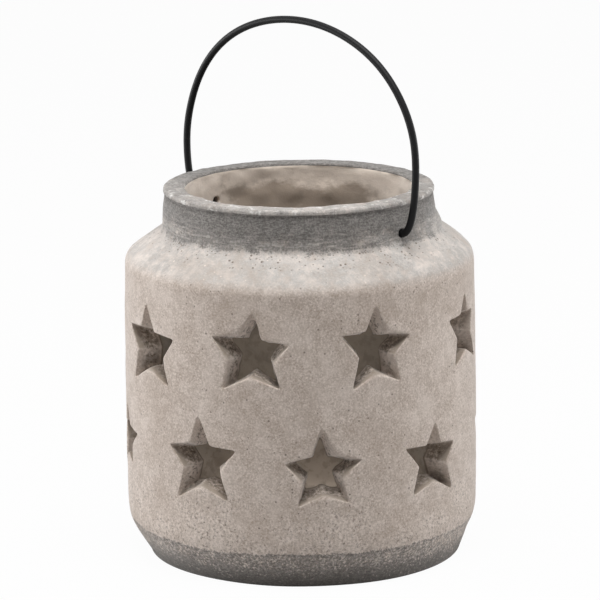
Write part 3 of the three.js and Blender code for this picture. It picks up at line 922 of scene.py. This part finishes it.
haunch, crown = ARCH_FOOT + ARCH_FULLNESS * (ARCH_TOP - ARCH_FOOT), ARCH_FULLNESS * ARCH_WIDTH
hole_end, hole_mouth, arch_foot = (WIRE_INNER_END, 0), (NECK_FOOT_RADIUS, 0), (ARCH_WIDTH, ARCH_FOOT)
in_hole = np.array(hole_end) + (np.array(hole_mouth) - hole_end) * run
leg = curve(hole_mouth, (NECK_FOOT_RADIUS + WIRE_BEND, 0), (ARCH_WIDTH, ARCH_FOOT / 2), arch_foot)
arch = curve(arch_foot, (ARCH_WIDTH, haunch), (crown, ARCH_TOP), (0, ARCH_TOP))
half_line = np.concatenate([in_hole, leg[1:], arch[1:]])
line = np.concatenate([half_line, half_line[-2::-1] * (-1, 1)])
travel = np.concatenate([[0], np.cumsum(np.linalg.norm(np.diff(line, axis=0), axis=1))])
even_travel = np.linspace(0, travel[-1], round(travel[-1] / WIRE_STEP) + 1)
line = np.stack([np.interp(even_travel, travel, line[:, k]) for k in (0, 1)], -1)
print("bail wire", round(float(travel[-1]), 1), "mm long")

# %% [markdown]
# No hand-bent arch is true either, so above its feet the wire wanders a little in all three directions. Its
# two ends are cut and slightly rounded.

# %% The bail's wire
OVER_BENT, WIDTH_SWAY, DEPTH_SWAY, RISE_SWAY = 0.6, (0.55, 34, 11), (0.8, 46, 12), (0.35, 30, 13)
WIDTH_START, DEPTH_START, RISE_START = 900, 500, 200
HAND_BENT, END_ROUND = (12, 45), 0.5

by_hand = fade(line[:, 1], *HAND_BENT)
spot = np.stack([line[:, 0], 0 * even_travel, line[:, 1]], -1)
spot[:, 0] += by_hand * (OVER_BENT + roughness(spot + WIDTH_START, WIDTH_SWAY))
spot[:, 1] += by_hand * roughness(spot + DEPTH_START, DEPTH_SWAY)
spot[:, 2] += by_hand * roughness(spot + RISE_START, RISE_SWAY)
ahead = np.gradient(spot, axis=0)
ahead /= np.linalg.norm(ahead, axis=1, keepdims=True)
beyond = np.cross(ahead, (0, 1, 0))
beyond /= np.linalg.norm(beyond, axis=1, keepdims=True)
beside = np.cross(beyond, ahead)
from_end = np.clip(np.minimum(even_travel, even_travel[-1] - even_travel) / END_ROUND, 0, 1)
thickness = WIRE_RADIUS * np.sqrt(np.clip(0.55 + 0.9 * from_end - 0.45 * from_end ** 2, 0, 1))
thickness[[0, -1]] = 0
spot[[0, -1]] = spot[[1, -2]]
wire_round = (2 * np.pi * np.arange(WIRE_SIDES) / WIRE_SIDES)[:, None]
spokes = beyond[:, None] * np.cos(wire_round) + beside[:, None] * np.sin(wire_round)
wire = spot[:, None] + spokes * thickness[:, None, None] + (0, 0, HINGE_HEIGHT)
bail_mesh = joined_mesh("wire_bail", [(wire, True)])

# %% [markdown]
# ## The wire's finish
# The wire is dipped in a satin black coat, a little uneven under the finger, and rubbed greyer where a hand
# holds it and where its ends turn in the neck. Plain black would look like a gap in the picture, so noise
# varies the gloss, and heights say where it is rubbed.

# %% Black coated wire
BLACK, RUBBED_BLACK = colour(0.006, 0.006, 0.0065), colour(0.035, 0.035, 0.037)
GRIP_LINE, HINGE_LINE = (0.222, 0.2315), (0.154, 0.147)
PEEL_DEPTH = 0.0004

coated, place = start_finish("black_coated_wire")
height = height_of(place)
orange_peel = grain(place, 0.0022, 3.0)
scuffs = step_up(grain(place, 0.0035, 5.0, 0.75), 0.60, 0.74)
rubbed = step_up(height, *GRIP_LINE) + step_up(height, *HINGE_LINE)
body = blend(0.55 * scuffs * (0.25 + 0.75 * rubbed), BLACK, RUBBED_BLACK)
gloss = 0.40 + 0.16 * orange_peel + 0.15 * scuffs
end_finish(place, body, gloss, {"Specular IOR Level": 0.15}, [(orange_peel, 0.12)], PEEL_DEPTH)
place_piece(bail_mesh, coated, "bail", "black_wire", "bail_handle")

# %% [markdown]
# ## The tealight
# A tealight is a drawn aluminium cup, a pressed block of wax, a tin disc and a wick. Plain cylinders would
# do from afar, but the rolled rim and the dip round the wick show from above, so each is turned from its
# own outline. The cup's thin side is pinched into fine flutes, and the wick is twisted.

# %% Cup and wax
TEALIGHT_COLUMNS = 180
CUP_RADIUS, CUP_HEIGHT, FOIL = 19.0, 13.0, 0.5
WAX_RADIUS, WAX_TOP, BORE = 18.2, 10.5, 1.1
TAB_POCKET = (6.3, 0.7)
FLUTES, FLUTE_DEPTH, FLUTE_FOOT, FLUTE_HEAD = 60, 0.006, (1.2, 3), (12, 11)
cup_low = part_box("tealight_cup")[0][2] / MM
wax_low = cup_low + FOIL
tealight_round = 2 * np.pi * np.arange(TEALIGHT_COLUMNS) / TEALIGHT_COLUMNS

cup_line = rounded_outline(
    [(0, 0), (CUP_RADIUS - 0.15, 0, 1.2), (CUP_RADIUS - 0.1, CUP_HEIGHT - 1.2, 0.2),
     (CUP_RADIUS + 0.45, CUP_HEIGHT - 0.75, 0.3), (CUP_RADIUS + 0.2, CUP_HEIGHT, 0.35),
     (CUP_RADIUS - FOIL, CUP_HEIGHT, 0.2), (CUP_RADIUS - FOIL, FOIL, 0.3), (0, FOIL)], 1.2, 4)
cup = turned_grid(cup_line + (0, cup_low), tealight_round)
on_side = fade(cup_line[:, 1], *FLUTE_FOOT) * fade(cup_line[:, 1], *FLUTE_HEAD)
on_side *= cup_line[:, 0] > CUP_RADIUS - 0.3
pinch = 1 - FLUTE_DEPTH * on_side[:, None] * (0.5 + 0.5 * np.cos(FLUTES * tealight_round))
cup[..., :2] *= pinch[..., None]
cup_mesh = joined_mesh("aluminium_cup", [(cup, True)])

wax_line = rounded_outline(
    [(BORE, TAB_POCKET[1]), TAB_POCKET, (TAB_POCKET[0], 0), (WAX_RADIUS, 0, 0.4), (WAX_RADIUS, WAX_TOP, 0.9),
     (14, WAX_TOP - 0.35, 12), (5, WAX_TOP - 0.3, 6), (BORE + 0.6, WAX_TOP, 0.6), (BORE, WAX_TOP - 0.6, 0.3),
     (BORE, TAB_POCKET[1])], 0.9, 5)
wax_mesh = joined_mesh("wax_block", [(turned_grid(wax_line + (0, wax_low), tealight_round), True)])

# %% Wick and its tab
TAB_RADIUS, TAB_THICKNESS, WICK_RADIUS, WICK_LENGTH = 6.0, 0.4, 0.8, 14.1
STRANDS, TWISTS, STRAND_DEPTH, WICK_LEAN = 3, 3.5, 0.14, 0.5
WICK_SIDES, WICK_ROWS = 36, 90

tab_line = rounded_outline(
    [(0, 0), (TAB_RADIUS, 0, 0.1), (TAB_RADIUS, TAB_THICKNESS, 0.15), (0, TAB_THICKNESS)], 0.8, 3)
tab_mesh = joined_mesh("tin_tab", [(turned_grid(tab_line + (0, wax_low), tealight_round[::3]), True)])

wick_round = 2 * np.pi * np.arange(WICK_SIDES) / WICK_SIDES
wick_up = np.concatenate([[0], np.linspace(0, 1, WICK_ROWS), [1]])[:, None]
wick_reach = WICK_RADIUS * np.concatenate([[0], np.ones(WICK_ROWS), [0]])[:, None]
strands = np.abs(np.cos(STRANDS / 2 * (wick_round - 2 * np.pi * TWISTS * wick_up)))
lobes = wick_reach * (1 - STRAND_DEPTH + STRAND_DEPTH * strands)
wick_x = lobes * np.cos(wick_round) + WICK_LEAN * fade(wick_up, 0.75, 1.0)
wick_z = np.broadcast_to(wick_up * WICK_LENGTH, lobes.shape)
wick = np.stack([wick_x, lobes * np.sin(wick_round), wick_z], -1)
wick_mesh = joined_mesh("cotton_wick", [(wick + (0, 0, wax_low + TAB_THICKNESS), True)])

# %% [markdown]
# ## The tealight's finishes
# Thin foil is bright but never flat, wax is milky and faintly crystalline, the tab is dull tin and the wick
# is waxed cotton with its strands showing. They could have pictures of their own, but they are small, so
# noise at the right size does it all.

# %% Foil and wax
foil, place = start_finish("drawn_foil")
drawn = grain(place, 0.0012, 4.0, 0.6, (1, 1, 0.12))
dents = grain(place, 0.006, 2.0)
body = blend(drawn, colour(0.70, 0.70, 0.71), colour(0.86, 0.86, 0.87))
end_finish(place, body, 0.24 + 0.16 * drawn, {"Metallic": 1.0}, [(dents, 0.2), (drawn, 0.08)], RELIEF_DEPTH)
place_piece(cup_mesh, foil, "tealight", "cup_aluminium", "tealight_cup")

milky, place = start_finish("pressed_wax")
crystals = grain(place, 0.0016, 4.0, 0.65)
bloom = grain(place, 0.008, 3.0)
body = blend(0.5 * crystals + 0.5 * bloom, colour(0.86, 0.81, 0.69), colour(0.76, 0.70, 0.57))
wax_glow = {"Subsurface Weight": 0.35, "Subsurface Radius": (0.004, 0.003, 0.002), "Subsurface Scale": 1.0}
end_finish(place, body, 0.42 + 0.2 * crystals, wax_glow, [(crystals, 0.12), (bloom, 0.2)], RELIEF_DEPTH)
place_piece(wax_mesh, milky, "tealight", "wax", "tealight_wax")

# %% Tin and cotton
ROLLED_DEPTH, FIBRE_DEPTH = 0.0003, 0.0002

tin, place = start_finish("dull_tin")
rolled = grain(place, 0.0008, 4.0, 0.6, (0.15, 1, 1))
body = blend(rolled, colour(0.46, 0.46, 0.47), colour(0.62, 0.62, 0.63))
end_finish(place, body, 0.34 + 0.2 * rolled, {"Metallic": 1.0}, [(rolled, 0.1)], ROLLED_DEPTH)
place_piece(tab_mesh, tin, "tealight", "tab_steel", "tealight_wick_tab")

cotton, place = start_finish("waxed_cotton")
fibres = grain(place, 0.0005, 4.0, 0.6, (1, 1, 0.3))
body = blend(fibres, colour(0.62, 0.57, 0.46), colour(0.84, 0.81, 0.72))
end_finish(place, body, 0.75 + 0.2 * fibres, {"Sheen Weight": 0.2}, [(fibres, 0.3)], FIBRE_DEPTH)
place_piece(wick_mesh, cotton, "tealight", "wick_cotton", "tealight_wick")

# %% [markdown]
# ## Floor and background
# The lantern stands on a white ground. A white floor would throw light up at it, so the floor is a pale
# grey that takes the shadow, lifted towards white only for rays that look at the background: the camera's
# own, and those that a gloss or a glass throws on. The world does the same, and fills the shadows a little.

# %% Floor and world
FLOOR_SIZE = 4.0
FLOOR_LIFT, FILL = 0.97, 0.034


def background_share(shade):
    """1 for a ray that looks at the background, straight, by a gloss or through glass."""
    camera_ray, glossy_ray, through_ray = (
        shade.node("ShaderNodeLightPath", {}, {}, name)
        for name in ("Is Camera Ray", "Is Glossy Ray", "Is Transmission Ray"))
    return shade.math("MAXIMUM", camera_ray, shade.math("MAXIMUM", glossy_ray, through_ray))


floor_mesh = bpy.data.meshes.new("floor")
floor_corners = np.array([(-1, -1, 0), (1, -1, 0), (1, 1, 0), (-1, 1, 0)]) * FLOOR_SIZE
floor_mesh.from_pydata(floor_corners.tolist(), [], [(0, 1, 2, 3)])
floor = new_object("floor", floor_mesh)

pale, place = start_finish("pale_floor")
paint = place.node("ShaderNodeBsdfDiffuse", {}, {"Color": colour(0.54, 0.54, 0.54)})
white = place.node("ShaderNodeEmission", {}, {"Color": colour(1, 1, 1), "Strength": 1.0})
shown = place.node("ShaderNodeMixShader", {}, {0: FLOOR_LIFT * background_share(place), 1: paint, 2: white})
place.node("ShaderNodeOutputMaterial", {}, {"Surface": shown})
floor_mesh.materials.append(pale)

world = bpy.data.worlds.new("studio")
bpy.context.scene.world = world
world.use_nodes = True
background = world.node_tree.nodes["Background"]
background.inputs["Color"].default_value = colour(1, 1, 1)
strength = FILL + (1 - FILL) * background_share(Shade(world.node_tree, None))
world.node_tree.links.new(strength.socket, background.inputs["Strength"])
print("floor", 2 * FLOOR_SIZE, "m wide, fill", FILL)

# %% [markdown]
# ## Light
# Soft light comes from above, and from low wide boxes on both sides, a little behind the lantern. Little
# comes from the front, so the middle of the wall is darker than its sides and the stars' insides are dim.
# Area lamps give the soft edges that small lamps can't.

# %% Lamps
ABOVE, LEFT, RIGHT = 21.2, 8.3, 6.4
LAMP_AIM = 0.08
TOP_BOX, SIDE_BOX = (0.9, 0.9), (0.9, 0.4)


def softbox(name, place, size, power):
    """A lamp of this width and height, in metres, that looks at the middle of the pot."""
    lamp = new_object(name, bpy.data.lights.new(name, "AREA"))
    lamp.data.shape, lamp.data.energy = "RECTANGLE", power
    lamp.data.size, lamp.data.size_y = size
    lamp.location = place
    lamp.rotation_euler = (upward * LAMP_AIM - place).to_track_quat("-Z", "Y").to_euler()


softbox("above", upward * 1.3 + toward_camera * 0.3, TOP_BOX, ABOVE)
softbox("left", camera_right * -1.1 - toward_camera * 0.22 + upward * 0.22, SIDE_BOX, LEFT)
softbox("right", camera_right * 1.1 - toward_camera * 0.25 + upward * 0.22, SIDE_BOX, RIGHT)
bpy.context.scene.view_settings.view_transform = "Standard"
